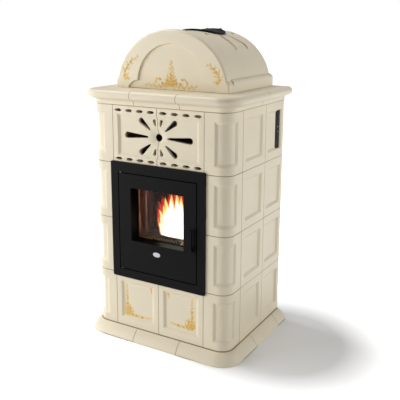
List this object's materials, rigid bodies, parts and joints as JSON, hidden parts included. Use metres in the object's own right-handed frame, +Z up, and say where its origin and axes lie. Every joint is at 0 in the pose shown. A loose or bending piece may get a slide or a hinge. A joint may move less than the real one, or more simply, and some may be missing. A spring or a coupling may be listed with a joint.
{
  "type": "pellet stove",
  "caption": "Cream ceramic-tiled pellet stove with a vaulted top, pierced flower grille, framed black glass door, round hopper lid and working insides.",
  "frame": {"origin": "centre of the bounding box at floor level", "axes": "+X to the right seen from the front, +Y from the door towards the wall, +Z up"},
  "size_m": [0.727, 0.58, 1.3083],
  "materials": {
    "ceramic": "cream glaze, satin",
    "black_steel": "satin black enamel",
    "galvanised": "galvanised sheet",
    "cast_iron": "heat-darkened casting",
    "vermiculite": "pressed refractory, browned by the fire",
    "stainless": "brushed",
    "black_plastic": "fine texture",
    "glass": "clear heat-proof glass",
    "rope": "braided glass fibre"
  },
  "bodies": {
    "stove": {"left_corner_tile_1": "ceramic", "left_corner_tile_2": "ceramic", "left_corner_tile_3": "ceramic", "left_corner_tile_4": "ceramic", "right_corner_tile_1": "ceramic", "right_corner_tile_2": "ceramic", "right_corner_tile_3": "ceramic", "right_corner_tile_4": "ceramic", "left_side_tiles": "ceramic", "right_side_tiles": "ceramic", "left_grille_tile": "ceramic", "right_grille_tile": "ceramic", "left_painted_tile": "ceramic", "right_painted_tile": "ceramic", "left_plinth": "ceramic", "front_plinth": "ceramic", "right_plinth": "ceramic", "left_cornice": "ceramic", "front_cornice": "ceramic", "right_cornice": "ceramic", "dome_front": "ceramic", "dome_vault": "ceramic", "door_surround": "black_steel", "firebox": "black_steel", "smoke_duct": "galvanised", "hinge_rod": "galvanised", "chassis": "galvanised", "rear_panel": "galvanised", "hopper": "galvanised", "auger_tube": "galvanised", "auger_gearmotor": "galvanised", "smoke_fan_housing": "galvanised", "exhaust_pipe": "galvanised", "air_intake_pipe": "galvanised", "room_fan_housing": "galvanised", "igniter": "stainless", "firebox_liner": "vermiculite", "baffle": "vermiculite", "hearth_plate": "cast_iron", "smoke_fan_motor": "black_plastic", "control_panel": "black_plastic", "power_inlet": "black_plastic"},
    "door": {"door_panel": "black_steel", "door_glass": "glass", "glass_retainer": "black_steel", "door_seal": "rope", "door_badge": "stainless"},
    "handle": {"door_handle": "black_steel"},
    "lid": {"hopper_lid": "black_steel"},
    "pot": {"burn_pot": "cast_iron"},
    "drawer": {"ash_drawer": "galvanised"},
    "screw": {"auger_screw": "stainless"},
    "impeller": {"smoke_impeller": "stainless"},
    "rotor": {"room_fan_rotor": "black_plastic"},
    "rocker": {"power_switch": "black_plastic"},
    "button_1": {"control_button_1": "black_plastic"},
    "button_2": {"control_button_2": "black_plastic"},
    "button_3": {"control_button_3": "black_plastic"},
    "button_4": {"control_button_4": "black_plastic"},
    "button_5": {"control_button_5": "black_plastic"}
  },
  "joints": [
    {"name": "door_hinge", "type": "hinge", "parent": "stove", "child": "door", "pos_m": [-0.179, -0.2515, 0.5225], "axis": [0, 0, -1], "range_deg": [0, 100]},
    {"name": "handle_turn", "type": "hinge", "parent": "door", "child": "handle", "pos_m": [0.168, -0.27, 0.46], "axis": [0, -1, 0], "range_deg": [-8, 75]},
    {"name": "hopper_lid_hinge", "type": "hinge", "parent": "stove", "child": "lid", "pos_m": [0, 0.21, 1.3003], "axis": [-1, 0, 0], "range_deg": [0, 95]},
    {"name": "burn_pot_lift", "type": "slide", "parent": "stove", "child": "pot", "axis": [0, 0, 1], "range_m": [0, 0.06]},
    {"name": "ash_drawer_slide", "type": "slide", "parent": "stove", "child": "drawer", "axis": [0, -1, 0], "range_m": [0, 0.045]},
    {"name": "auger_turn", "type": "hinge", "parent": "stove", "child": "screw", "pos_m": [0, 0.212, 0.56], "axis": [0, -0.788, 0.6157], "continuous": true},
    {"name": "smoke_impeller_turn", "type": "hinge", "parent": "stove", "child": "impeller", "pos_m": [0.095, 0.03, 0.205], "axis": [0, 1, 0], "continuous": true},
    {"name": "room_fan_turn", "type": "hinge", "parent": "stove", "child": "rotor", "pos_m": [0, -0.124, 0.1], "axis": [1, 0, 0], "continuous": true},
    {"name": "control_button_1_press", "type": "slide", "parent": "stove", "child": "button_1", "axis": [-1, 0, 0], "range_m": [0, 0.0015], "stiffness_N_per_m": 300},
    {"name": "control_button_2_press", "type": "slide", "parent": "stove", "child": "button_2", "axis": [-1, 0, 0], "range_m": [0, 0.0015], "stiffness_N_per_m": 300},
    {"name": "control_button_3_press", "type": "slide", "parent": "stove", "child": "button_3", "axis": [-1, 0, 0], "range_m": [0, 0.0015], "stiffness_N_per_m": 300},
    {"name": "control_button_4_press", "type": "slide", "parent": "stove", "child": "button_4", "axis": [-1, 0, 0], "range_m": [0, 0.0015], "stiffness_N_per_m": 300},
    {"name": "control_button_5_press", "type": "slide", "parent": "stove", "child": "button_5", "axis": [-1, 0, 0], "range_m": [0, 0.0015], "stiffness_N_per_m": 300},
    {"name": "power_switch_rock", "type": "hinge", "parent": "stove", "child": "rocker", "pos_m": [0.205, 0.254, 0.127], "axis": [-1, 0, 0], "range_deg": [0, 16]}
  ]
}
